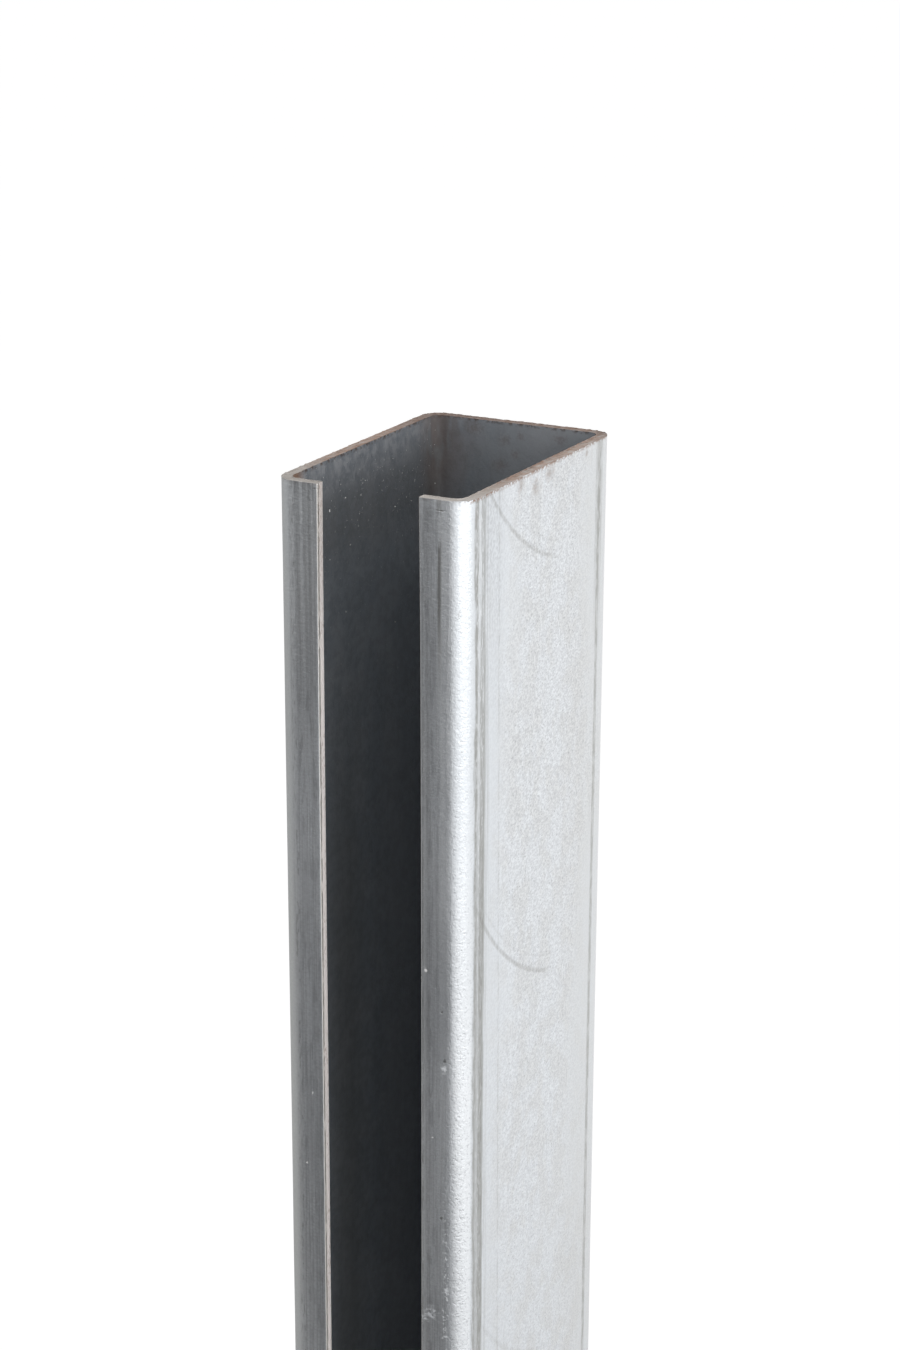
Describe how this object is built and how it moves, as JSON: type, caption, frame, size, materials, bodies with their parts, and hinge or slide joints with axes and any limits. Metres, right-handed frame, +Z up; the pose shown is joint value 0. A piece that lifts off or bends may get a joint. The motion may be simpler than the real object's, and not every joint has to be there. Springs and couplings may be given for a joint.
{
  "type": "fence post reinforcement profile",
  "caption": "Lipped galvanised steel channel, rolled from one strip and sawn to length, that slides into a hollow fence post to stiffen it.",
  "frame": {"origin": "middle of the foot: the centre of the section's 38 by 60 mm outline, on the floor that the sawn end stands on", "axes": "+Z up along the length, +X across the narrow front, +Y from the slotted front to the plain back, so the slot faces -Y"},
  "size_m": [0.038, 0.06, 1],
  "materials": {
    "galvanised_steel": "cold-rolled strip, continuously hot-dip galvanised, sawn ends bare and lightly rusted"
  },
  "bodies": {
    "root": {"c_profile": "galvanised_steel"}
  },
  "joints": []
}
